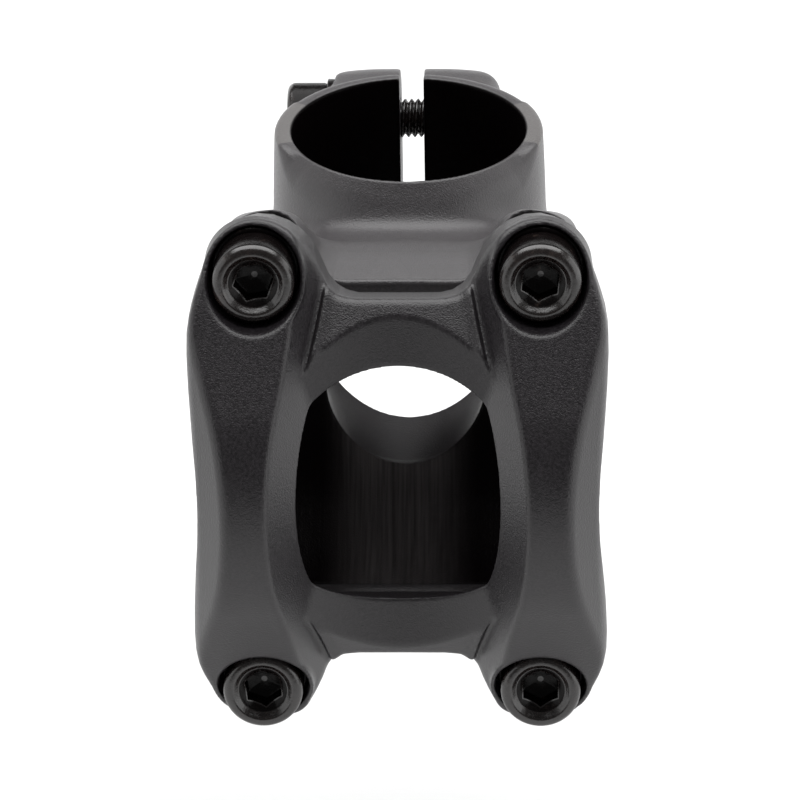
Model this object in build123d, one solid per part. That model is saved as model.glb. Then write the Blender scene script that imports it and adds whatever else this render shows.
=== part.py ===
from build123d import *
import os
import math

# Threadless handlebar stem with a four-bolt open faceplate.
# Millimetres. Origin on the steerer axis at mid height of the steerer clamp,
# +Z up along the steerer, -Y forward to the handlebar, X along the handlebar.

# ---- driving dimensions ------------------------------------------------
STEERER_R = 14.3            # 28.6 mm steerer tube
CLAMP_H = 40.0              # height of the steerer clamp
CLAMP_R_END = 16.4          # outside radius at the top and bottom faces
CLAMP_R_MID = 16.9          # outside radius at mid height
RIM_CHAMFER = 0.3

REACH = 45.0                # steerer axis to handlebar axis
BAR_Z = 0.5                 # handlebar axis above the origin
TILT = 7.0                  # the bar clamp leans up by this angle, degrees
BAR_R = 17.5                # 35 mm handlebar

BOLT_X = 16.0               # faceplate bolts, half spacing across
BOLT_V = 25.0               # faceplate bolts, half spacing up and down
PART_GAP = 1.0              # half of the gap between body and faceplate
SEAT_U = 7.0                # floor of the faceplate counterbores
CBORE_R = 5.2
PLATE_CLEAR_R = 2.75        # clearance hole for M5

PILLAR_R = 23.2             # outside radius of the faceplate pillars
SLOPE = 32.5                # slope of the plate above and below, degrees
LOBE_V = 31.3               # top of the bolt lobes at the front
LOBE_V_SPLIT = 29.3         # top of the bolt lobes at the split line
BRIDGE_V = 22.0             # crest of the two bridges between the lobes
BRIDGE_V_SPLIT = 19.7       # top of the bridges at the split line
CREST_U = 9.1               # crest of the bridges and widest outline, out from the bar axis
SCOOP_U = 10.9              # depth of the open scoop between the pillars
LIP_V = 20.5                # top of the body behind the bridges
LIP_DROP = 0.75             # how far the lip slopes down towards the split
LIP_SLOPE_U = -7.0          # where that slope starts
BOSS_V = 28.9               # top of the body's bolt bosses

TUNNEL_Z = -0.8             # opening through the body
TUNNEL_R_FRONT = 9.2
TUNNEL_R_REAR = 11.5

PINCH_Y = 19.5              # pinch bolts behind the steerer
PINCH_Z = 12.1
SLOT_W = 3.0
EAR_X = 11.0
EAR_SEAT_X = 9.8
EAR_Z = 18.9

M5_CREST_R = 2.45
M5_ROOT_R = 2.05
PITCH = 0.8
TAP_R = 2.5
TAP_END_U = -4.4            # end of the full thread of the blind holes
HEAD_R = 4.6
HEAD_H = 5.0
HEX_AF = 4.0
WASHER_R = 5.0
WASHER_T = 1.0
WASHER_HOLE_R = 2.65
BOLT_L = 12.0               # faceplate bolts
PINCH_L = 20.0              # pinch bolts

a = math.radians(TILT)
# frame of the bar clamp: z_dir of this plane points out of the faceplate,
# its x is the handlebar axis and its y is up along the split line
BAR = Plane(origin=(0, -REACH, BAR_Z), x_dir=(1, 0, 0),
            z_dir=(0, -math.cos(a), math.sin(a)))


def big(solids):
    """The largest solid of a shape."""
    return max(solids.solids(), key=lambda s: s.volume)


def mirror4(q):
    """Closed outline from the points of its upper right quarter."""
    q = q[1:]
    pts = q + [(x, -y) for x, y in reversed(q[:-1])]
    return pts + [(-x, -y) for x, y in q] + [(-x, y) for x, y in reversed(q[:-1])]


def clamp_outline(q, radii):
    """Front outline of one half of the bar clamp, corners rounded."""
    face = make_face(Polyline(*mirror4(q), close=True))
    for (x, y), r in zip(q[1:], radii):
        vs = [v for v in face.vertices()
              if abs(abs(v.X) - x) < 1e-3 and abs(abs(v.Y) - y) < 1e-3]
        face = fillet(vs, r)
    return face


def plate_outline(bridge, top, side_x, side_v):
    """Faceplate outline, its lobes reaching up to top."""
    return clamp_outline([(0, bridge), (8.3, bridge), (9.5, top), (side_x, top),
                          (23.0 + side_v * 0.033, side_v), (22.75, 0)],
                         [3.2, 5.2, 6.4, 12.0, 60.0])


def body_outline(top, inner_x, side_x, side_v):
    """Outline of the body's half, its bosses reaching up to top."""
    return clamp_outline([(0, LIP_V), (7.2, LIP_V - 0.2), (inner_x, top), (side_x, top),
                          (22.2, side_v), (21.9, 0)],
                         [3.0, 3.8, 4.6, 9.0, 60.0])


# ---- bolts ----------------------------------------------------------------
def thread(z0, z1, crest, root, pitch):
    """Ring thread from z0 down to z1 as a solid of revolution."""
    pts = [(0, z0), (root, z0)]
    z = z0
    while z - pitch > z1 + 0.4:
        pts += [(root, z), (crest, z - pitch * 0.42), (crest, z - pitch * 0.56),
                (root, z - pitch * 0.98)]
        z -= pitch
    pts += [(root, z1 + 0.3), (root - 0.35, z1), (0, z1)]
    out = []
    for p in pts:
        if not out or math.dist(out[-1], p) > 1e-6:
            out.append(p)
    return revolve(make_face(Plane.XZ * Polyline(*out, close=True)), Axis.Z)


def socket_bolt(length, head_r, turn=0.0):
    """Cap screw, underside of the head at z = 0, shank down -Z."""
    head = Cylinder(head_r, HEAD_H, align=(Align.CENTER, Align.CENTER, Align.MIN))
    head = fillet(head.edges().filter_by(GeomType.CIRCLE).sort_by(Axis.Z)[-1], 0.95)
    head = head - Pos(0, 0, HEAD_H) * Cylinder(2.95, 0.7)
    ring = Pos(0, 0, HEAD_H - 0.34) * Cone(2.95, 3.5, 0.35, align=(Align.CENTER, Align.CENTER, Align.MIN))
    head = head - ring
    cone = Pos(0, 0, HEAD_H - 1.35) * Cone(2.25, 2.95, 1.02, align=(Align.CENTER, Align.CENTER, Align.MIN))
    head = head - cone
    hexa = extrude(RegularPolygon(HEX_AF / 2, 6, major_radius=False, rotation=turn), HEAD_H)
    head = head - Pos(0, 0, HEAD_H - 3.4) * hexa
    shank = Pos(0, 0, -3.2) * Cylinder(M5_CREST_R, 3.2, align=(Align.CENTER, Align.CENTER, Align.MIN))
    body = head + shank + thread(-3.2, -length, M5_CREST_R, M5_ROOT_R, PITCH)
    return big(body)


def washer():
    w = Cylinder(WASHER_R, WASHER_T, align=(Align.CENTER, Align.CENTER, Align.MIN))
    return w - Cylinder(WASHER_HOLE_R, 4)


# ---- faceplate --------------------------------------------------------------
t = math.radians(SLOPE)
tu, tv = PILLAR_R * math.cos(t), PILLAR_R * math.sin(t)
end_u = tu - (LOBE_V + 1 - tv) * math.tan(t)
pl = Plane(origin=BAR.origin, x_dir=BAR.z_dir, z_dir=-BAR.x_dir)
side = Polyline((tu, -tv), (end_u, -LOBE_V - 1), (PART_GAP, -LOBE_V - 1), (PART_GAP, LOBE_V + 1),
                (end_u, LOBE_V + 1), (tu, tv))
arc = ThreePointArc((tu, tv), (PILLAR_R, 0), (tu, -tv))
side_face = make_face(Wire([*side.edges(), *arc.edges()]))
side_solid = extrude(pl * side_face, 40, both=True)



def waist_face(mid, end, v_end=34.0):
    """Closed outline, bowed in at the middle on both sides."""
    r = ThreePointArc((end, -v_end), (mid, 0), (end, v_end))
    l = ThreePointArc((-end, v_end), (-mid, 0), (-end, -v_end))
    top = Line((end, v_end), (-end, v_end))
    bot = Line((-end, -v_end), (end, -v_end))
    return make_face(Wire([*r.edges(), *top.edges(), *l.edges(), *bot.edges()]))


def level(u, face):
    return Plane(origin=BAR.origin + BAR.z_dir * u, x_dir=BAR.x_dir, z_dir=BAR.z_dir) * face


# lobes flare from the split line to the front of the bolt lobes
plate = loft([level(PART_GAP, plate_outline(BRIDGE_V_SPLIT, LOBE_V_SPLIT, 18.4, 17.6)),
              level(CREST_U, plate_outline(BRIDGE_V, LOBE_V + 0.4, 19.4, 20.0))], ruled=True)
plate = plate + extrude(level(CREST_U, plate_outline(BRIDGE_V, LOBE_V + 0.4, 19.4, 20.0)), 16)
plate = big(plate & side_solid)

# pillars lean in on their outer sides towards the front
flank = loft([level(0.0, waist_face(34.2, 29.0)), level(26.0, waist_face(17.5, 12.4))], ruled=True)
plate = big(plate & flank)

# open scoop between the pillars
scoop = loft([level(SCOOP_U, waist_face(7.5, 14.0)), level(26.0, waist_face(16.2, 20.5))], ruled=True)
plate = big(plate - scoop)
# sloped front of the two bridges, from their crest to the scoop
for sgn in (1, -1):
    wedge = Polyline((CREST_U, sgn * BRIDGE_V), (SCOOP_U, sgn * 19.8), (22.0, sgn * 19.8), (22.0, sgn * 40.0),
                     (CREST_U, sgn * 40.0), close=True)
    plate = plate - extrude(pl * make_face(wedge), 8.4, both=True)
plate = big(plate)

# bar bore, then the counterbores and the bolt holes
bar_bore = Plane(origin=BAR.origin, x_dir=BAR.y_dir, z_dir=BAR.x_dir) * Cylinder(BAR_R, 90)
plate = big(plate - bar_bore)
bolt_at = [(-BOLT_X, BOLT_V), (BOLT_X, BOLT_V), (-BOLT_X, -BOLT_V), (BOLT_X, -BOLT_V)]
for x, v in bolt_at:
    o = BAR.from_local_coords(Vector(x, v, SEAT_U))
    p = Plane(origin=o, x_dir=BAR.x_dir, z_dir=BAR.z_dir)
    plate = plate - p * Cylinder(CBORE_R, 20, align=(Align.CENTER, Align.CENTER, Align.MIN))
    plate = plate - p * Cylinder(PLATE_CLEAR_R, 30)
plate = big(plate)

# ---- body -------------------------------------------------------------------
h = CLAMP_H / 2
barrel = make_face(Wire([
    *Line((0, -h), (CLAMP_R_END, -h)).edges(),
    *ThreePointArc((CLAMP_R_END, -h), (CLAMP_R_MID, 0), (CLAMP_R_END, h)).edges(),
    *Line((CLAMP_R_END, h), (0, h)).edges(),
    *Line((0, h), (0, -h)).edges()]))
barrel = revolve(Plane.XZ * barrel, Axis.Z)
barrel = fillet(barrel.edges().filter_by(GeomType.CIRCLE).group_by(Axis.Z)[-1]
                + barrel.edges().filter_by(GeomType.CIRCLE).group_by(Axis.Z)[0], 0.6)

# rear ears that carry the two pinch bolts
ear_side = make_face(Polyline((6, -EAR_Z), (PINCH_Y + 0.8, -EAR_Z), (PINCH_Y + 5.6, -15.2), (PINCH_Y + 5.6, 15.2),
                              (PINCH_Y + 0.8, EAR_Z), (6, EAR_Z), close=True))
ear_side = fillet([v for v in ear_side.vertices() if v.X > PINCH_Y], 3.6)
ear_front = RectangleRounded(2 * EAR_X + 2.6, 2 * EAR_Z, 8.0)
ear_plan = make_face(Polyline((-16.0, 3), (-EAR_X, PINCH_Y - 3.5), (-EAR_X, PINCH_Y + 4), (-8.0, PINCH_Y + 7),
                              (8.0, PINCH_Y + 7), (EAR_X, PINCH_Y + 4), (EAR_X, PINCH_Y - 3.5), (16.0, 3), close=True))
ears = extrude(Plane.YZ * ear_side, 30, both=True) & extrude(Plane.XY * ear_plan, 30, both=True)
ears = ears & extrude(Plane.XZ * ear_front, 40, both=True)
body = barrel + ears

# extension from the steerer clamp to the bar clamp
root = Plane(origin=(0, 0, -1.4), x_dir=(1, 0, 0), z_dir=(0, -1, 0)) * RectangleRounded(32.0, 26.6, 9.0)
tip = level(-PART_GAP, RectangleRounded(43.4, 2 * LIP_V, 6.0))
body = body + loft([root, tip], ruled=True)

# bar clamp half with four bosses
block = extrude(level(-PART_GAP, body_outline(BOSS_V, 11.0, 16.4, 20.5)), -15.5)
boss_side = Polyline((-PART_GAP, BOSS_V), (-4.5, BOSS_V - 0.95), (-9.0, BOSS_V - 3.0), (-17.0, 18.5), (-17.0, -18.5),
                     (-9.0, -BOSS_V + 3.0), (-4.5, -BOSS_V + 0.95), (-PART_GAP, -BOSS_V), close=True)
block = block & extrude(pl * make_face(boss_side), 40, both=True)
block = block & loft([level(-PART_GAP, Rectangle(45.0, 64.0)), level(-17.0, Rectangle(38.0, 64.0))], ruled=True)
body = big(body + block)
# the lip between the bosses slopes down to the split
for sgn in (1, -1):
    wedge = Polyline((LIP_SLOPE_U, sgn * (LIP_V + 0.2)), (-PART_GAP, sgn * (LIP_V - LIP_DROP)),
                     (1.0, sgn * (LIP_V - LIP_DROP)), (1.0, sgn * 26.0), (LIP_SLOPE_U, sgn * 26.0), close=True)
    body = body - extrude(pl * make_face(wedge), 7.3, both=True)
body = big(body)

# cuts
body = body - bar_bore
body = body - Cylinder(STEERER_R, 80)
tunnel_start, tunnel_end = -32.0, -5.0
k = (TUNNEL_R_REAR - TUNNEL_R_FRONT) / (28.6 - 14.3)
r0 = TUNNEL_R_FRONT - k * (28.6 - 32.0) * -1
tunnel = Plane(origin=(0, tunnel_start, TUNNEL_Z), x_dir=(1, 0, 0), z_dir=(0, 1, 0)) * Cone(
    r0, r0 + k * (tunnel_end - tunnel_start), tunnel_end - tunnel_start,
    align=(Align.CENTER, Align.CENTER, Align.MIN))
body = body - tunnel
body = body - Pos(0, 25, 0) * Box(SLOT_W, 32, 80)
for x, v in bolt_at:
    # blind tapped hole with its drill point
    p = Plane(origin=BAR.from_local_coords(Vector(x, v, TAP_END_U)), x_dir=BAR.x_dir, z_dir=BAR.z_dir)
    body = body - p * Cylinder(TAP_R, 12.0, align=(Align.CENTER, Align.CENTER, Align.MIN))
    body = body - p * Cone(0.05, TAP_R, 1.5, align=(Align.CENTER, Align.CENTER, Align.MAX))
for z in (PINCH_Z, -PINCH_Z):
    # clearance hole and seat on the left ear, tapped hole in the right one
    body = body - Pos(-10, PINCH_Y, z) * Rot(0, 90, 0) * Cylinder(PLATE_CLEAR_R, 19.9)
    body = body - Pos(10, PINCH_Y, z) * Rot(0, 90, 0) * Cylinder(TAP_R, 20.2)
    body = body - Pos(-EAR_SEAT_X, PINCH_Y, z) * Rot(0, -90, 0) * Cylinder(
        WASHER_R + 0.25, 12, align=(Align.CENTER, Align.CENTER, Align.MIN))
body = big(body)
# light chamfers at the steerer bore
e = [x for x in body.edges().filter_by(GeomType.CIRCLE)
     if abs(abs(x.center().Z) - h) < 0.01 and abs(x.radius - STEERER_R) < 0.01]
try:
    c = chamfer(e, RIM_CHAMFER)
    body = big(c)
except Exception:
    pass

# ---- write ------------------------------------------------------------------
os.makedirs("parts", exist_ok=True)
export_step(body, "parts/stem_body.step")
export_step(plate, "parts/faceplate.step")

names = ["top_left", "top_right", "bottom_left", "bottom_right"]
turns = [10.0, 24.0, 38.0, 3.0]
for (x, v), nm, tr in zip(bolt_at, names, turns):
    o = BAR.from_local_coords(Vector(x, v, SEAT_U))
    p = Plane(origin=o, x_dir=BAR.x_dir, z_dir=BAR.z_dir)
    export_step(p * washer(), f"parts/faceplate_washer_{nm}.step")
    q = Plane(origin=o + BAR.z_dir * WASHER_T, x_dir=BAR.x_dir, z_dir=BAR.z_dir)
    export_step(q * socket_bolt(BOLT_L, HEAD_R, tr), f"parts/faceplate_bolt_{nm}.step")
for nm, z in (("upper", PINCH_Z), ("lower", -PINCH_Z)):
    p = Plane(origin=(-EAR_SEAT_X, PINCH_Y, z), x_dir=(0, 1, 0), z_dir=(-1, 0, 0))
    export_step(p * washer(), f"parts/pinch_washer_{nm}.step")
    q = Plane(origin=(-EAR_SEAT_X - WASHER_T, PINCH_Y, z), x_dir=(0, 1, 0), z_dir=(-1, 0, 0))
    export_step(q * socket_bolt(PINCH_L, HEAD_R - 0.1, 15.0), f"parts/pinch_bolt_{nm}.step")
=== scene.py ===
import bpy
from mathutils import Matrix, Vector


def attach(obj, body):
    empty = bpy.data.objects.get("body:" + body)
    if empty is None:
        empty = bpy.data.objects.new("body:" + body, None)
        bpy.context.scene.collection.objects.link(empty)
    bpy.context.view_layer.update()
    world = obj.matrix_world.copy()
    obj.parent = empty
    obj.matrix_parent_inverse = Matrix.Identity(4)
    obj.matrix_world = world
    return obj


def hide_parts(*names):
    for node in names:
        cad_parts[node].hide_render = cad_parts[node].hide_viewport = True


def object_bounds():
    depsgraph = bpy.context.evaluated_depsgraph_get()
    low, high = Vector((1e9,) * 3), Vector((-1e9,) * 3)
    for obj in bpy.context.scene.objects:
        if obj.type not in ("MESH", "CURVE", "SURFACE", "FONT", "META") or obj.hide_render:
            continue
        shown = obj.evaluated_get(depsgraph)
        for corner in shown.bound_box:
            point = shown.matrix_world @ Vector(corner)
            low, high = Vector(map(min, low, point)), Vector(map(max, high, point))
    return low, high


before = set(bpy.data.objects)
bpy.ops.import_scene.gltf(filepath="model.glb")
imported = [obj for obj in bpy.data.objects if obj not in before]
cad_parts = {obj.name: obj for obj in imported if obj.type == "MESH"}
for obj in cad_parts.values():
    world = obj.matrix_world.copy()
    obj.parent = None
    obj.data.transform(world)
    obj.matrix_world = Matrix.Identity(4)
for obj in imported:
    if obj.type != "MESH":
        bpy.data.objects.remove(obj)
import math
import bpy
import numpy as np
import openvdb
from mathutils import Matrix, Vector

scene = bpy.context.scene
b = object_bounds()
first_size = [[float(v) for v in c] for c in b]

MM = 0.001

# ------------------------------------------------------------- frames, sizes
TILT = math.radians(7.0)
REACH, BAR_Z = 45.0, 0.5
UAX = np.array([0.0, -math.cos(TILT), math.sin(TILT)])     # out of the faceplate
VAX = np.array([0.0, math.sin(TILT), math.cos(TILT)])      # up along the split
ORG = np.array([0.0, -REACH, BAR_Z])


def bar_to_row(p):
    """Points (x, v, u) of the bar clamp's frame in the row frame, mm."""
    p = np.asarray(p, float)
    return ORG + p[:, :1] * np.array([1.0, 0, 0]) + p[:, 1:2] * VAX + p[:, 2:3] * UAX


# ------------------------------------------------------------ implicit shapes
def smin(a, b, k):
    h = np.clip(0.5 + 0.5 * (b - a) / k, 0.0, 1.0)
    return b + (a - b) * h - k * h * (1.0 - h)


def smax(a, b, k):
    h = np.clip(0.5 - 0.5 * (b - a) / k, 0.0, 1.0)
    return b + (a - b) * h + k * h * (1.0 - h)


def axis(lo, hi, h):
    return np.arange(int(round(lo / h)), int(round(hi / h)) + 1) * np.float32(h)


def poly_sdf(px, py, pts):
    """Signed distance of points (px, py) from a closed polygon, negative inside."""
    pts = np.asarray(pts, float)
    d = np.full(px.shape, 1e9)
    inside = np.zeros(px.shape, bool)
    n = len(pts)
    for i in range(n):
        ax, ay = pts[i]
        bx, by = pts[(i + 1) % n]
        ex, ey = bx - ax, by - ay
        L = ex * ex + ey * ey
        if L < 1e-12:
            continue
        t = np.clip(((px - ax) * ex + (py - ay) * ey) / L, 0, 1)
        d = np.minimum(d, (px - ax - t * ex) ** 2 + (py - ay - t * ey) ** 2)
        c = ((ay <= py) & (by > py)) | ((by <= py) & (ay > py))
        with np.errstate(divide="ignore", invalid="ignore"):
            xi = ax + (py - ay) / (by - ay) * ex
        inside ^= c & (px < xi)
    d = np.sqrt(d)
    return np.where(inside, -d, d).astype(np.float32)


def spline(pts, per=8):
    """Smooth closed polygon through points (Catmull-Rom)."""
    pts = np.asarray(pts, float)
    n = len(pts)
    out = []
    for i in range(n):
        p0, p1, p2, p3 = pts[i - 1], pts[i], pts[(i + 1) % n], pts[(i + 2) % n]
        for s in range(per):
            t = s / per
            out.append(0.5 * ((2 * p1) + (-p0 + p2) * t + (2 * p0 - 5 * p1 + 4 * p2 - p3) * t * t
                              + (-p0 + 3 * p1 - 3 * p2 + p3) * t ** 3))
    return np.array(out)


def mirror4(q):
    """Closed outline from its upper right quarter, which runs from x = 0 to v = 0."""
    q = [tuple(p) for p in q]
    right = q + [(x, -y) for x, y in reversed(q[:-1])]
    left = [(-x, y) for x, y in reversed(right[1:-1])]
    return right + left


def grid_mesh(name, field, origin, h, to_row=None):
    """Mesh of the zero level of a field sampled with spacing h from origin, in mm."""
    g = openvdb.FloatGrid()
    g.copyFromArray(np.ascontiguousarray(field.astype(np.float32)))
    pts, quads = g.convertToQuads()
    pts = np.asarray(pts, float) * h + np.asarray(origin, float)
    if to_row is not None:
        pts = to_row(pts)
    quads = np.asarray(quads, np.int64)
    me = bpy.data.meshes.new(name)
    me.vertices.add(len(pts))
    me.vertices.foreach_set("co", (pts * MM).astype(np.float32).ravel())
    me.loops.add(quads.size)
    me.loops.foreach_set("vertex_index", quads.astype(np.int32).ravel())
    me.polygons.add(len(quads))
    me.polygons.foreach_set("loop_start", np.arange(0, quads.size, 4, dtype=np.int32))
    me.polygons.foreach_set("loop_total", np.full(len(quads), 4, np.int32))
    me.update(calc_edges=True)
    me.validate()
    me.shade_smooth()
    # outward winding
    vol = 0.0
    p = pts[quads]
    vol = np.einsum("ij,ij->i", p[:, 0], np.cross(p[:, 1], p[:, 2])).sum() \
        + np.einsum("ij,ij->i", p[:, 0], np.cross(p[:, 2], p[:, 3])).sum()
    if vol < 0:
        me.flip_normals()
    ob = bpy.data.objects.new(name, me)
    scene.collection.objects.link(ob)
    return ob


# ------------------------------------------------------------------ faceplate
SLOPE = math.radians(32.5)
PILLAR_R = 23.2
BAR_R = 17.5
BOLT_X, BOLT_V = 16.0, 25.0

CREST_OUT = [(0, 22.0), (5.0, 22.02), (6.6, 22.3), (7.8, 23.1), (8.5, 24.3), (9.05, 25.8), (9.7, 27.2),
             (10.7, 28.7), (12.0, 30.0), (13.6, 30.9), (15.5, 31.25), (17.3, 30.9), (18.8, 30.1), (20.0, 29.0),
             (20.9, 27.7), (21.6, 26.3), (22.2, 24.8), (22.75, 23.1), (23.25, 21.3), (23.55, 19.4), (23.6, 17.0),
             (23.45, 13.5), (23.15, 9.0), (22.95, 4.5), (22.9, 0)]
SPLIT_OUT = [(0, 19.73), (4.6, 19.75), (6.0, 20.1), (7.2, 20.9), (8.1, 22.2), (8.8, 24.0), (9.6, 25.8),
             (10.8, 27.3), (12.4, 28.5), (14.2, 29.2), (16.0, 29.35), (17.6, 28.9), (18.9, 28.1), (19.9, 27.0),
             (20.7, 25.8), (21.3, 24.4), (21.8, 22.9), (22.15, 21.2), (22.3, 19.4), (22.35, 17.5), (22.3, 14.5),
             (22.25, 11.0), (22.15, 7.5), (22.1, 4.0), (22.1, 0)]


def faceplate():
    h = 0.2
    x = axis(0, 25.0, h)[:, None, None]
    v = axis(0, 33.0, h)[None, :, None]
    u = axis(0, 24.6, h)[None, None, :]
    # side profile
    t = SLOPE
    r = np.sqrt(u * u + v * v)
    ang = np.arctan2(v, u)
    d = np.where(ang < t, r - PILLAR_R, u * math.cos(t) + v * math.sin(t) - PILLAR_R).astype(np.float32)
    face = d
    # flanks lean in towards the front
    flank = (x - (34.2 - 0.642 * u - v * v / 228.0)) / np.sqrt(1 + 0.642 ** 2 + (v / 114.0) ** 2)
    d = smax(d, flank, 0.9)
    # open middle: floor, sloped bridge front and the pillars' inner walls
    floor = (u - (10.45 + 0.036 * x * x)) / np.sqrt(1 + (0.072 * x) ** 2)
    wedge = (u - 9.1) * 0.78 + (v - 22.0) * 0.626
    xs = 11.25 + 0.6 * (u - 17.5) + 0.006 * v * v
    off = xs - x
    wedge = wedge - 0.34 * np.exp(-((off - 1.15) / 0.5) ** 2) + 0.22 * np.exp(-((off - 0.25) / 0.4) ** 2)
    mid = smax(floor, wedge, 0.3)
    wall = (xs - x) / np.sqrt(1 + 0.36 + (0.012 * v) ** 2)
    # the bridge's front turns up into a low bead beside the boss
    inner = smin(wall, mid, 0.35)
    d = smax(d, inner, 0.55)
    # outline, drafted from the split line to the crest
    X2, V2 = np.meshgrid(x[:, 0, 0], v[0, :, 0], indexing="ij")
    a = poly_sdf(X2, V2, mirror4(SPLIT_OUT))[:, :, None]
    c = poly_sdf(X2, V2, mirror4(CREST_OUT))[:, :, None]
    s = np.clip((u - 1.0) / 8.1, 0, 1)
    out = a * (1 - s) + c * s
    d = smax(d, out, 0.8)
    # split face, bar bore
    d = smax(d, 1.0 - u, 0.25)
    d = smax(d, BAR_R - r, 0.55)
    # counterbore and bolt hole
    q = np.sqrt((x - BOLT_X) ** 2 + (v - BOLT_V) ** 2)
    # the wall round the counterbore stays closed where the drafted outline runs thin
    d = smin(d, np.maximum(np.maximum(q - 5.8, face + 0.25), 5.9 - u), 0.3)
    cb = np.minimum(5.2 - q, u - 7.0)
    d = smax(d, cb, 0.5)
    d = smax(d, 2.75 - q, 0.1)
    # all four quarters
    d = np.concatenate([d[:0:-1], d], axis=0)
    d = np.concatenate([d[:, :0:-1], d], axis=1)
    nx, nv = d.shape[0] // 2, d.shape[1] // 2
    return grid_mesh("faceplate_skin", d, (-nx * h, -nv * h, 0.0), h,
                     lambda p: bar_to_row(p))


# ----------------------------------------------------------------------- body
BODY_OUT = [(0, 20.5), (5.5, 20.5), (7.2, 20.75), (8.85, 22.1), (10.0, 24.2), (11.0, 26.3), (12.2, 28.1),
            (13.7, 29.0), (15.0, 28.9), (17.0, 28.1), (18.8, 26.6), (20.2, 24.6), (21.2, 22.4), (21.8, 20.0),
            (22.0, 17.0), (22.0, 12.0), (21.95, 6.0), (21.9, 0)]


def body():
    h = 0.26
    xa, ya, za = axis(0, 23.4, h), axis(-47.6, 27.4, h), axis(-31.0, 31.0, h)
    x, y, z = xa[:, None, None], ya[None, :, None], za[None, None, :]
    Y2, Z2 = np.meshgrid(ya, za, indexing="ij")
    u2 = (Y2 - ORG[1]) * UAX[1] + (Z2 - ORG[2]) * UAX[2]
    v2 = (Y2 - ORG[1]) * VAX[1] + (Z2 - ORG[2]) * VAX[2]
    u, v = u2[None].astype(np.float32), v2[None].astype(np.float32)
    av = np.abs(v)
    # steerer clamp, slightly barrelled, with rounded rims
    rho = np.sqrt(x * x + y * y)
    wall_r = 16.9 - 0.5 * (z / 20.0) ** 2
    rim = np.abs(z) - 20.0
    side = np.clip((y + 7.2) / 3.0, 0, 1) * np.clip((7.95 - y) / 0.3, 0, 1)
    fall = 1.3 * np.clip((-4.0 - y) / 5.0, 0, 1)
    roll = np.maximum(rim, (rim + (rho - 14.5) * fall) / np.sqrt(1 + fall * fall))
    plain = np.where(y < 0, smax(rho - wall_r, roll, 0.9), smax(rho - wall_r, rim, 1.2))
    barrel = smax(rho - wall_r, rim, 0.5) * side + plain * (1 - side)
    # ears behind the clamp
    az = np.abs(z)
    ear_top = az - (19.05 - 0.032 * np.clip(x - 3.5, 0, 9) ** 2)
    ear_back = (y - 20.3) * 0.611 + (az - 18.9) * 0.792
    ear_x = x - (11.1 + np.clip(17.0 - y, 0, 20) * 0.12)
    ear_y = y - (25.1 - 0.03 * x * x)
    ears = smax(smax(ear_x, ear_y, 2.4), smax(ear_top, ear_back, 1.5), 1.6)
    ears = smax(ears, 8.0 - y, 0.5)
    d = smin(barrel, ears, 0.9)
    # extension towards the bar clamp
    tt = np.clip(-y / 44.0, 0, 1)
    hw = 16.0 + 5.4 * tt
    top = 12.2 + 8.6 * tt ** 1.15
    low = -14.6 - 4.6 * tt
    zc, hz = (top + low) / 2, (top - low) / 2
    rc = 9.5 - 1.5 * tt
    crown = 0.009 * np.minimum(x, 12.0) ** 2
    qx, qz = x - (hw - rc), np.abs(z - zc) + crown - (hz - rc)
    ext = np.sqrt(np.maximum(qx, 0) ** 2 + np.maximum(qz, 0) ** 2) + np.minimum(np.maximum(qx, qz), 0) - rc
    ext = np.maximum(ext * 0.96, y - 1.0)
    d = smin(d, ext, 4.0)
    # bosses
    X2, VV = np.meshgrid(xa, axis(0, 36.0, 0.25), indexing="ij")
    tab = poly_sdf(X2, VV, mirror4(BODY_OUT))
    iv = np.clip(av / 0.25, 0, tab.shape[1] - 2)
    i0 = iv.astype(np.int32)
    fr = iv - i0
    ii = np.arange(len(xa))[:, None, None]
    out = tab[ii, i0] * (1 - fr) + tab[ii, i0 + 1] * fr
    back = np.maximum((av - 28.9) * 0.965 + (-1.0 - u) * 0.262, (av - 27.95) * 0.914 + (-4.5 - u) * 0.406)
    back = np.maximum(back, (av - 25.9) * 0.745 + (-9.0 - u) * 0.667)
    taper = (x - (22.3 + (u + 1.0) * 0.22)) * 0.97
    block = smax(smax(out, back, 2.2), taper, 1.5)
    block = smax(block, -u - 17.0, 1.0)
    d = smin(d, block, 4.6)
    # the lip between the bosses slopes down to the split
    lip = 21.1 + 0.094 * (u + 1.0) - 0.06 * np.clip(u + 7.0, 0, 6.2)
    rise = np.maximum(x - 6.4, 0)
    lip = lip + 0.28 * rise ** 2 + 0.15 * np.maximum(-u - 12.0, 0) + 2.0 * np.maximum(-u - 19.0, 0)
    d = smax(d, (av - lip) * 0.96 / np.sqrt(1 + (0.56 * rise) ** 2), 2.6)
    # draft of the lip towards the split
    d = smax(d, u + 1.0, 0.5)
    # machined cuts
    rb = np.sqrt(u * u + v * v)
    d = smax(d, BAR_R - rb, 0.35)
    d = smax(d, 14.3 - rho, 0.3)
    k = (11.5 - 9.2) / 14.3
    tun_r = 9.2 + k * (y + 28.6)
    tun = (np.sqrt(x * x + (z + 0.8) ** 2) - tun_r) * 0.987
    tun = np.maximum(tun, y + 6.0)
    d = smax(d, -tun, 0.3)
    slot = np.maximum(np.abs(x) - 1.5, 5.0 - y)
    d = smax(d, -slot, 0.3)
    q = np.sqrt((x - BOLT_X) ** 2 + (av - BOLT_V) ** 2)
    d = smax(d, np.minimum(2.5 - q, np.minimum(u + 4.4, 99.0)), 0.2)
    d = smax(d, np.minimum((2.5 - 1.667 * (-4.4 - u) - q) * 0.5, u + 5.9), 0.1)
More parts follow.
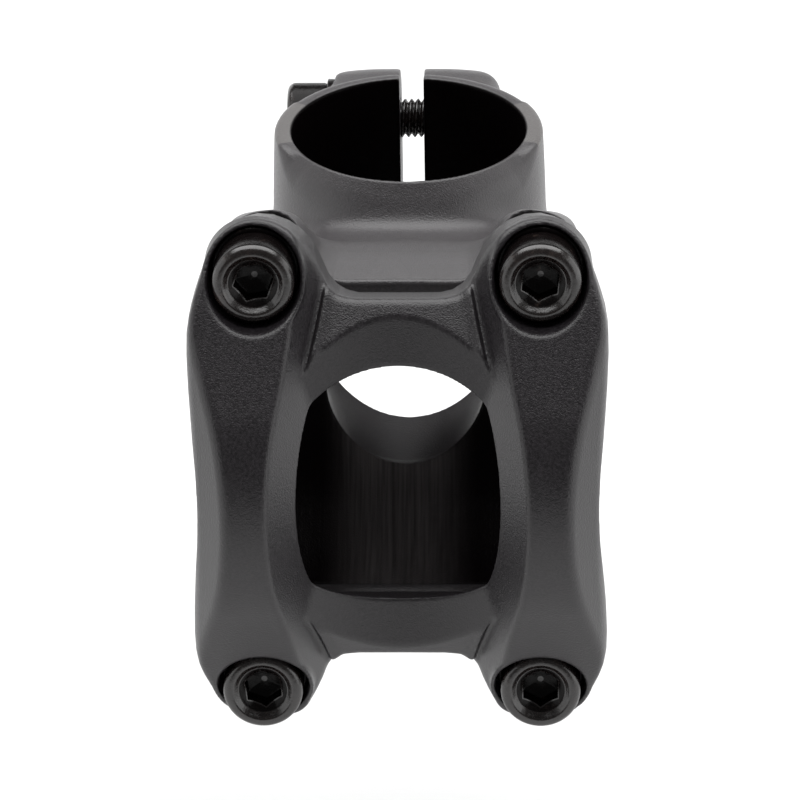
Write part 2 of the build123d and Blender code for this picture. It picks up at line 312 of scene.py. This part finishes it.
    # both sides, then the cuts of the pinch bolts
    d = np.concatenate([d[:0:-1], d], axis=0)
    n = len(xa) - 1
    xf = (np.arange(-n, n + 1) * np.float32(h))[:, None, None]
    qp = np.sqrt((y - 19.5) ** 2 + (np.abs(z) - 12.1) ** 2)
    hole = np.where(xf < 0, 2.75, 2.5) - qp
    d = smax(d, hole, 0.2)
    seat = np.minimum(5.45 - qp, -9.8 - xf)
    d = smax(d, seat, 0.4)
    return grid_mesh("stem_body_skin", d, (-n * h, ya[0], za[0]), h)


# --------------------------------------------------------------------- bolts
def ring_mesh(name, rings, place, close=True):
    """Surface through rings of (r_of_angle, z) with the same number of points."""
    n = rings.shape[1]
    m = len(rings)
    P = rings.reshape(-1, 3)
    f = []
    for i in range(m - 1):
        for j in range(n):
            k = (j + 1) % n
            f.append((i * n + j, i * n + k, (i + 1) * n + k, (i + 1) * n + j))
    if close:
        f.append(tuple(range(n))[::-1])
        f.append(tuple((m - 1) * n + j for j in range(n)))
    me = bpy.data.meshes.new(name)
    me.from_pydata([tuple(place(p)) for p in P], [], f)
    me.update()
    me.validate()
    ob = bpy.data.objects.new(name, me)
    scene.collection.objects.link(ob)
    return ob


def placer(o, xd, zd):
    o, xd, zd = (np.asarray(t, float) for t in (o, xd, zd))
    yd = np.cross(zd, xd)
    return lambda p: (o + p[0] * xd + p[1] * yd + p[2] * zd) * MM


def bolt(name, o, xd, zd, length, head_r, turn):
    n = 96
    ph = np.arange(n) * 2 * math.pi / n
    rel = (ph - math.radians(turn)) % (math.pi / 3) - math.pi / 6
    hexr = 2.0 / np.cos(rel)
    rings = []

    def add(r, z):
        r = np.broadcast_to(np.asarray(r, float), ph.shape)
        z = np.broadcast_to(np.asarray(z, float), ph.shape)
        rings.append(np.stack([r * np.cos(ph), r * np.sin(ph), z], 1))

    H = 5.0
    # socket floor, hex walls, lead-in cone, inner ring
    add(0.35, H - 3.75)
    add(hexr - 0.12, H - 3.4)
    add(hexr, H - 3.3)
    zc = H - 1.25 + (hexr - 2.0) * 1.1
    add(hexr, zc - 0.10)
    add(hexr + 0.12, zc)
    add(2.78, H - 0.62)
    for r, z in ((2.86, -0.60), (2.92, -0.54), (3.04, -0.43), (3.20, -0.27), (3.36, -0.10), (3.46, -0.03), (3.58, 0.0)):
        add(r, H + z)
    R = 1.0
    for i in range(0, 10):
        a = math.pi / 2 * (1 - i / 9)
        add(head_r - R + R * math.cos(a), H - R + R * math.sin(a))
    add(head_r, 0.35)
    add(head_r - 0.12, 0.08)
    add(head_r - 0.3, 0.0)
    add(2.75, 0.0)
    add(2.45, -0.25)
    # shank, then a real helical thread
    add(2.45, -3.0)
    pitch = 0.8
    step = pitch / 12
    z = -3.2
    while z > -length + 0.5:
        s = (z / pitch + ph / (2 * math.pi)) % 1.0
        tri = 1 - np.abs(2 * s - 1)
        prof = np.clip((tri - 0.10) / 0.72, 0, 1)
        fade = min(1.0, (-3.2 - z) / 0.8, (z + length) / 1.0)
        add(2.45 - 0.42 * (1 - prof) * max(fade, 0), z)
        z -= step
    add(2.1, -length + 0.35)
    add(1.75, -length)
    rings = np.array(rings)
    ob = ring_mesh(name, rings, placer(o, xd, zd))
    me = ob.data
    me.flip_normals()
    me.shade_smooth()
    # painted shade: the side of the head, the socket floor, hex walls and lead-in cone take a darker, duller copy of
    # the steel than the top, for the shadow in the counterbore and socket
    side = np.zeros(len(me.polygons), np.int32)
    rr = rings[:, 0, :2]
    rr = np.sqrt((rr ** 2).sum(1))
    for i in range(len(rings) - 1):
        if i in (0, 1, 2, 4):
            side[i * n:(i + 1) * n] = 1
        if rings[i + 1, 0, 2] < H - R + 0.25 and rings[i, 0, 2] > -0.3 and rr[i] > 2.4 and i > 12:
            side[i * n:(i + 1) * n] = 1
    me.polygons.foreach_set("material_index", side)
    sharp_by_angle(me, 38)
    return ob


def sharp_by_angle(me, deg):
    import bmesh
    bm = bmesh.new()
    bm.from_mesh(me)
    bmesh.ops.recalc_face_normals(bm, faces=bm.faces)
    lim = math.radians(deg)
    for e in bm.edges:
        e.smooth = len(e.link_faces) == 2 and e.calc_face_angle(0) < lim
    for f in bm.faces:
        f.smooth = True
    bm.to_mesh(me)
    bm.free()


def washer(name, o, xd, zd):
    n = 96
    ph = np.arange(n) * 2 * math.pi / n
    prof = [(2.65, 0.14), (2.77, 0.03), (4.88, 0.03), (5.0, 0.14), (5.0, 0.85), (4.9, 0.955), (4.76, 0.985), (2.8, 0.985),
            (2.65, 0.87), (2.65, 0.14)]
    rings = np.array([np.stack([r * np.cos(ph), r * np.sin(ph), np.full(n, z)], 1) for r, z in prof[:-1]])
    m = len(rings)
    f = [(i * n + j, i * n + (j + 1) % n, ((i + 1) % m) * n + (j + 1) % n, ((i + 1) % m) * n + j)
         for i in range(m) for j in range(n)]
    pl = placer(o, xd, zd)
    me = bpy.data.meshes.new(name)
    me.from_pydata([tuple(pl(p)) for p in rings.reshape(-1, 3)], [], f)
    me.update()
    sharp_by_angle(me, 38)
    ob = bpy.data.objects.new(name, me)
    scene.collection.objects.link(ob)
    return ob


# ------------------------------------------------------------------ materials
class Nodes:
    def __init__(self, name):
        self.m = bpy.data.materials.new(name)
        self.m.use_nodes = True
        self.t = self.m.node_tree
        self.t.nodes.clear()
        self.out = self.add("ShaderNodeOutputMaterial")
        self.p = self.add("ShaderNodeBsdfPrincipled")
        self.link(self.p.outputs[0], self.out.inputs[0])
        self.geo = self.add("ShaderNodeNewGeometry")
        self.tc = self.add("ShaderNodeTexCoord")

    def add(self, kind, **kw):
        n = self.t.nodes.new(kind)
        for k, v in kw.items():
            setattr(n, k, v)
        return n

    def link(self, a, b):
        self.t.links.new(a, b)

    def noise(self, scale, detail=2.0, rough=0.5, vec=None):
        n = self.add("ShaderNodeTexNoise")
        n.inputs["Scale"].default_value = scale
        n.inputs["Detail"].default_value = detail
        n.inputs["Roughness"].default_value = rough
        self.link(vec or self.tc.outputs["Object"], n.inputs["Vector"])
        return n.outputs["Fac"]

    def ramp(self, src, stops, interp="LINEAR"):
        n = self.add("ShaderNodeValToRGB")
        n.color_ramp.interpolation = interp
        el = n.color_ramp.elements
        while len(el) < len(stops):
            el.new(0.5)
        for e, (pos, col) in zip(el, stops):
            e.position = pos
            e.color = (col, col, col, 1) if isinstance(col, (int, float)) else (*col, 1)
        self.link(src, n.inputs["Fac"])
        return n.outputs["Color"]

    def math(self, op, a, b=None, c=None, clamp=False):
        n = self.add("ShaderNodeMath", operation=op, use_clamp=clamp)
        for i, v in enumerate((a, b, c)):
            if v is None:
                continue
            if isinstance(v, (int, float)):
                n.inputs[i].default_value = v
            else:
                self.link(v, n.inputs[i])
        return n.outputs[0]

    def mix(self, fac, a, b, kind="MIX"):
        n = self.add("ShaderNodeMix", data_type="RGBA", blend_type=kind)
        if isinstance(fac, (int, float)):
            n.inputs["Factor"].default_value = fac
        else:
            self.link(fac, n.inputs["Factor"])
        for key, v in (("A", a), ("B", b)):
            s = [i for i in n.inputs if i.name == key and i.type == "RGBA"][0]
            if isinstance(v, tuple):
                s.default_value = (*v, 1)
            else:
                self.link(v, s)
        return [o for o in n.outputs if o.type == "RGBA"][0]

    def maprange(self, src, a, b, c, d, smooth=False):
        n = self.add("ShaderNodeMapRange")
        n.interpolation_type = "SMOOTHSTEP" if smooth else "LINEAR"
        for i, v in enumerate((a, b, c, d)):
            n.inputs[i + 1].default_value = v
        self.link(src, n.inputs[0])
        return n.outputs[0]

    def bump(self, height, strength, distance, normal=None):
        n = self.add("ShaderNodeBump")
        n.inputs["Strength"].default_value = strength
        n.inputs["Distance"].default_value = distance
        self.link(height, n.inputs["Height"])
        if normal is not None:
            self.link(normal, n.inputs["Normal"])
        return n.outputs[0]


def blasted_black(name, machined_with_painted_light=False):
    """Satin black finish over a finely blasted surface, with pale dust specks; the body's copy also takes painted
    light: a paler lift all over, a painted highlight in the cradle and painted shade in the cradle and bores.
    """
    s = Nodes(name)
    p = s.p
    fine = s.noise(5600, 1.0, 0.6)
    mid = s.noise(3200, 2.0, 0.6)
    slow = s.noise(70, 3.0, 0.5)
    col = s.ramp(slow, [(0.3, (0.0120, 0.0100, 0.0118)), (0.7, (0.0160, 0.0138, 0.0158))])
    dark = s.ramp(mid, [(0.35, 0.6), (0.65, 1.35)])
    col = s.mix(1.0, col, dark, "MULTIPLY")
    # specks of dust
    vor = s.add("ShaderNodeTexVoronoi")
    vor.inputs["Scale"].default_value = 330
    s.link(s.tc.outputs["Object"], vor.inputs["Vector"])
    speck = s.math("LESS_THAN", vor.outputs["Distance"], 0.035)
    rare = s.math("GREATER_THAN", s.noise(900, 0.0, 0.5), 0.66)
    speck = s.math("MULTIPLY", speck, rare)
    if machined_with_painted_light:
        # painted light: the body's copy of the finish is lifted paler all over than the plate's, a lit copy of the same
        # finish
        col = s.mix(1.0, col, (0.030, 0.0285, 0.0290), "ADD")
    col = s.mix(speck, col, (0.12, 0.11, 0.10))
    rough = s.ramp(mid, [(0.3, 0.31), (0.7, 0.42)])
    h1 = s.bump(fine, 0.36, 0.00013)
    h2 = s.bump(mid, 0.12, 0.0002, h1)
    if machined_with_painted_light:
        sep = s.add("ShaderNodeSeparateXYZ")
        s.link(s.tc.outputs["Object"], sep.inputs[0])
        sx, sy, sz = sep.outputs["X"], sep.outputs["Y"], sep.outputs["Z"]

        def dist(a, b):
            return s.math("SQRT", s.math("ADD", s.math("MULTIPLY", a, a), s.math("MULTIPLY", b, b)))

        # boring marks that run round the cradle, and painted shade that darkens the bores
        dy = s.math("ADD", sy, REACH * MM)
        dz = s.math("SUBTRACT", sz, BAR_Z * MM)
        near = s.maprange(dist(dy, dz), (BAR_R + 0.12) * MM, (BAR_R + 0.35) * MM, 1.0, 0.0)
        bore = s.maprange(dist(sx, sy), 14.42 * MM, 14.6 * MM, 1.0, 0.0)
        tz = s.math("ADD", sz, 0.0008)
        tun = s.math("MULTIPLY", s.maprange(dist(sx, tz), 11.9 * MM, 12.2 * MM, 1.0, 0.0),
                     s.math("MULTIPLY", s.math("LESS_THAN", sy, -0.012), s.math("GREATER_THAN", sy, -0.0295)))
        mp = s.add("ShaderNodeMapping")
        mp.inputs["Scale"].default_value = (2300, 90, 90)
        s.link(s.tc.outputs["Object"], mp.inputs["Vector"])
        n = s.add("ShaderNodeTexNoise")
        n.inputs["Scale"].default_value = 1.0
        n.inputs["Detail"].default_value = 3.0
        s.link(mp.outputs[0], n.inputs["Vector"])
        # paler sectors of the two end faces
        rad = s.math("DIVIDE", sy, s.math("MAXIMUM", s.math("ABSOLUTE", sx), 0.0001))
        sect = s.math("MULTIPLY", s.math("GREATER_THAN", rad, -0.268), s.math("LESS_THAN", rad, 0.52))
        sect = s.math("MULTIPLY", sect, s.math("GREATER_THAN", s.math("ABSOLUTE", sz), 0.01945))
        sect = s.math("MULTIPLY", sect, s.math("GREATER_THAN", sy, -0.0075))
        col = s.mix(sect, col, (0.105, 0.099, 0.097))
        # painted highlight: a paler stripe up the middle of the cradle, lighter towards the top, over a cradle painted
        # near black as painted shade
        mid_x = s.maprange(s.math("ABSOLUTE", s.math("ADD", sx, 0.0008)), 0.0025, 0.0095, 1.0, 0.0, True)
        up = s.maprange(sz, -0.016, 0.0, 0.35, 1.0, True)
        cradle_painted_highlight = s.math("MULTIPLY", s.math("MULTIPLY", mid_x, up), s.ramp(n.outputs["Fac"], [(0.3, 0.55), (0.7, 1.25)]))
        cradle = s.mix(cradle_painted_highlight, (0.0010, 0.0004, 0.0006), (0.088, 0.080, 0.081))
        col = s.mix(near, col, cradle)
        # painted shade: the steerer bore painted near black
        col = s.mix(bore, col, (0.0016, 0.0008, 0.001))
        inner = s.math("MAXIMUM", near, bore)
        lvl = s.math("MULTIPLY_ADD", s.math("MAXIMUM", inner, s.math("MULTIPLY", tun, 0.7)), -0.50, 0.55)
        s.link(lvl, p.inputs["Specular IOR Level"])
        hgt = s.math("MULTIPLY", n.outputs["Fac"], near)
        h2 = s.bump(hgt, 0.3, 0.0001, h2)
    else:
        p.inputs["Specular IOR Level"].default_value = 0.55
    s.link(col, p.inputs["Base Color"])
    s.link(rough, p.inputs["Roughness"])
    p.inputs["Metallic"].default_value = 0.0
    s.link(h2, p.inputs["Normal"])
    return s.m


def black_steel(name, base=(0.0075, 0.0058, 0.0055), level=0.75):
    """Black oxide steel with a dark gloss and rubbed spots."""
    s = Nodes(name)
    p = s.p
    n1 = s.noise(1500, 3.0, 0.6)
    n2 = s.noise(520, 4.0, 0.65)
    col = s.ramp(n2, [(0.40, base), (0.62, tuple(c * 1.6 for c in base)), (0.72, (0.030, 0.021, 0.018))])
    s.link(col, p.inputs["Base Color"])
    p.inputs["Specular IOR Level"].default_value = level
    s.link(s.ramp(n1, [(0.3, 0.19), (0.7, 0.31)]), p.inputs["Roughness"])
    h = s.bump(n1, 0.15, 0.0001)
    h = s.bump(n2, 0.22, 0.0003, h)
    s.link(h, p.inputs["Normal"])
    return s.m


alloy = blasted_black("black_alloy_finish_with_painted_light", machined_with_painted_light=True)
alloy_plate = blasted_black("black_alloy_plate_finish")
steel = black_steel("black_steel_finish", (0.0062, 0.0040, 0.0036), 0.8)
# painted shade: a darker, duller copy of the bolt steel
steel_painted_shade = black_steel("black_steel_painted_shade", (0.0030, 0.0022, 0.0022), 0.14)
# painted shade: the washers are a near-black, dull copy of the bolt steel, standing in for the shade in the
# counterbores
washer_painted_shade = black_steel("black_washer_painted_shade", (0.0022, 0.0016, 0.0017), 0.12)


def give(ob, mat, body, slot, *nodes):
    for m in mat if isinstance(mat, tuple) else (mat,):
        ob.data.materials.append(m)
    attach(ob, body)
    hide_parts(*nodes)


# ------------------------------------------------------------------- assemble
plate = faceplate()
give(plate, alloy_plate, "front", "black_alloy", "faceplate")
stem = body()
give(stem, alloy, "stem", "black_alloy", "stem_body")

turns = {"top_left": 10.0, "top_right": 24.0, "bottom_left": 38.0, "bottom_right": 30.0}
spots = {"top_left": (-16, 25), "top_right": (16, 25), "bottom_left": (-16, -25), "bottom_right": (16, -25)}
for nm, (bx, bv) in spots.items():
    o = bar_to_row([(bx, bv, 7.0)])[0]
    w = washer("faceplate_washer_" + nm + "_skin", o, (1, 0, 0), UAX)
    give(w, washer_painted_shade, "front", "washer_steel", "faceplate_washer_" + nm)
    o = bar_to_row([(bx, bv, 8.0)])[0]
    s = bolt("faceplate_bolt_" + nm + "_skin", o, (1, 0, 0), UAX, 12.0, 4.62, turns[nm])
    give(s, (steel, steel_painted_shade), "bolt_" + nm, "black_steel", "faceplate_bolt_" + nm)
for nm, z in (("upper", 12.1), ("lower", -12.1)):
    w = washer("pinch_washer_" + nm + "_skin", (-9.8, 19.5, z), (0, 1, 0), (-1, 0, 0))
    give(w, washer_painted_shade, "pinch_" + nm + "_seat", "washer_steel", "pinch_washer_" + nm)
    s = bolt("pinch_bolt_" + nm + "_skin", (-10.8, 19.5, z), (0, 1, 0), (-1, 0, 0), 20.0, 4.5, 15.0)
    give(s, (steel, steel_painted_shade), "pinch_" + nm + "_screw", "black_steel", "pinch_bolt_" + nm)

# ---------------------------------------------------------------------- stage
lo_z = first_size[0][2]
floor_z = -0.075
me = bpy.data.meshes.new("floor")
me.from_pydata([(-3, -3, floor_z), (3, -3, floor_z), (3, 3, floor_z), (-3, 3, floor_z)], [], [(0, 1, 2, 3)])
floor = bpy.data.objects.new("floor", me)
scene.collection.objects.link(floor)
fm = Nodes("floor_paper")
fm.p.inputs["Base Color"].default_value = (0.78, 0.78, 0.78, 1)
fm.p.inputs["Roughness"].default_value = 0.9
me.materials.append(fm.m)

# --------------------------------------------------------------------- camera
C = Vector((14.885, -507.953, 263.131)) * MM
yaw, pit, roll = (math.radians(t) for t in (1.859, 28.947, 0.943))
F = Vector((-math.sin(yaw) * math.cos(pit), math.cos(yaw) * math.cos(pit), -math.sin(pit)))
R = Vector((math.cos(yaw), math.sin(yaw), 0))
U = R.cross(F)
R2 = math.cos(roll) * R - math.sin(roll) * U
U2 = math.sin(roll) * R + math.cos(roll) * U
cam = bpy.data.cameras.new("camera")
cam_ob = bpy.data.objects.new("camera", cam)
scene.collection.objects.link(cam_ob)
cam_ob.matrix_world = Matrix(((R2.x, U2.x, -F.x, C.x), (R2.y, U2.y, -F.y, C.y), (R2.z, U2.z, -F.z, C.z), (0, 0, 0, 1)))
cam.sensor_width = 36.0
cam.lens = 4602.3 / 800 * 36.0
cam.clip_start = 0.01
cam.clip_end = 20
scene.camera = cam_ob


# --------------------------------------------------------------------- lights
def area(name, loc, target, sx, sy, power, color=(1, 1, 1)):
    L = bpy.data.lights.new(name, "AREA")
    L.shape = "RECTANGLE"
    L.size, L.size_y = sx, sy
    L.energy = power
    L.color = color
    ob = bpy.data.objects.new(name, L)
    ob.location = loc
    ob.rotation_euler = (Vector(target) - Vector(loc)).to_track_quat("-Z", "Y").to_euler()
    scene.collection.objects.link(ob)
    return ob


def soft(name, loc, target, sx, sy, radiance):
    return area(name, loc, target, sx, sy, radiance * math.pi * sx * sy)


soft("top", (0.0, 0.22, 0.85), (0, 0.10, 0), 1.5, 1.05, 3.7)
soft("back", (0.0, 1.0, 0.10), (0, 0, 0.0), 2.4, 0.42, 1.2)
soft("left", (-0.75, -0.10, 0.14), (0, -0.03, 0), 1.15, 0.6, 1.1)
soft("right", (0.75, -0.10, 0.14), (0, -0.03, 0), 1.15, 0.6, 1.6)
world = bpy.data.worlds.new("world")
world.use_nodes = True
scene.world = world
bg = world.node_tree.nodes["Background"]
bg.inputs[0].default_value = (1, 1, 1, 1)
bg.inputs[1].default_value = 0.12
scene.view_settings.view_transform = "Standard"
